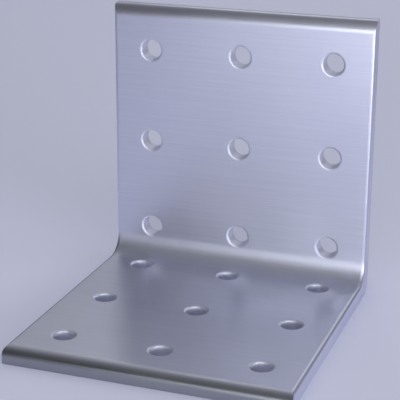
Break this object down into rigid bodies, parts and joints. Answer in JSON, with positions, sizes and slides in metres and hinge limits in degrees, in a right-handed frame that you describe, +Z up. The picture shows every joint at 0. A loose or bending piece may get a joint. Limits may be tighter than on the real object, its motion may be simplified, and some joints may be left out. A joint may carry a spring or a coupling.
{
  "type": "angle bracket",
  "caption": "Square angle bracket of thick satin metal plate with a rounded bend, rounded edges and a grid of plain screw holes in each leaf.",
  "frame": {"origin": "centre of the footprint, on the underside of the base leaf", "axes": "+X along the bend, +Y from the base leaf's free end towards the upright leaf, +Z up along the upright leaf"},
  "size_m": [0.06, 0.0624, 0.0625],
  "materials": {
    "bracket_metal": "satin, faintly brushed along the bend"
  },
  "bodies": {
    "root": {"bracket": "bracket_metal"}
  },
  "joints": []
}
